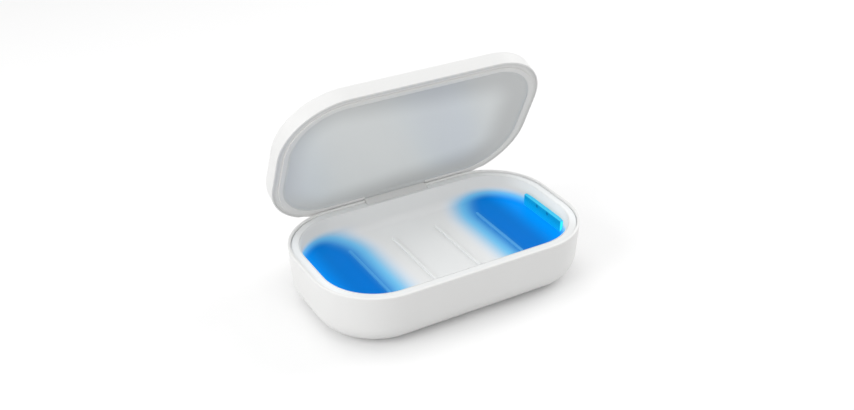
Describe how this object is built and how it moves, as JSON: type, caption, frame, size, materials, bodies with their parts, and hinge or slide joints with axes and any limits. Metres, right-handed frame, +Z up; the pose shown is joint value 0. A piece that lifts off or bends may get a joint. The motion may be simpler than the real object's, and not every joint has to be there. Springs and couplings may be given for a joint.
{
  "type": "uv sanitizer box",
  "caption": "Countertop UV sanitizer box for phones: a deep rounded tray with a lamp cover at each end, and a thick hinged lid with a push button.",
  "frame": {"origin": "centre of the base's footprint, on the table under the rubber foot", "axes": "+X along the length of the box, +Y towards the hinge, +Z up"},
  "size_m": [0.22, 0.1445, 0.163],
  "materials": {
    "shell_abs": "satin moulded white ABS",
    "tub_abs": "satin moulded white ABS",
    "liner_abs": "satin moulded pale grey ABS",
    "panel_abs": "smooth pale grey ABS",
    "lamp_cover": "translucent diffusing cover, lit blue",
    "circuit_board": "solder mask",
    "led_package": "moulded",
    "component_black": "moulded",
    "plated_steel": "zinc plated",
    "magnet": "nickel plated",
    "foot_rubber": "matt",
    "bush_brass": "turned",
    "button_abs": "satin moulded",
    "light_rod": "clear rod",
    "coil_copper": "wound copper wire",
    "ferrite": "sintered"
  },
  "bodies": {
    "base": {"base_shell": "shell_abs", "inner_tub": "tub_abs", "lamp_cover_right": "lamp_cover", "lamp_cover_left": "lamp_cover", "lamp_board_right": "circuit_board", "lamp_board_left": "circuit_board", "lamp_leds_right": "led_package", "lamp_leds_left": "led_package", "main_board": "circuit_board", "board_components": "component_black", "power_socket": "plated_steel", "board_screws": "plated_steel", "base_screws": "plated_steel", "rubber_foot": "foot_rubber", "base_magnets": "magnet", "lid_sensor": "component_black", "hinge_pin": "plated_steel"},
    "lid": {"lid_shell": "shell_abs", "lid_liner": "liner_abs", "lid_panel": "panel_abs", "hinge_knuckle": "liner_abs", "hinge_bush_left": "bush_brass", "hinge_bush_right": "bush_brass", "lid_screws": "plated_steel", "knuckle_screws": "plated_steel", "lid_board_screws": "plated_steel", "lid_magnets": "magnet", "sensor_magnet": "magnet", "lid_board": "circuit_board", "button_switch": "component_black", "status_light": "light_rod", "charging_coil": "coil_copper", "coil_shield": "ferrite"},
    "power_button": {"power_button": "button_abs", "switch_plunger": "button_abs"}
  },
  "joints": [
    {"name": "lid_hinge", "type": "hinge", "parent": "base", "child": "lid", "pos_m": [0, 0.0625, 0.04], "axis": [1, 0, 0], "range_deg": [0, 65.8]},
    {"name": "button_press", "type": "slide", "parent": "lid", "child": "power_button", "axis": [0, -0.9121, -0.4099], "range_m": [0, 0.0005], "stiffness_N_per_m": 2500, "springref_m": -0.0003}
  ]
}
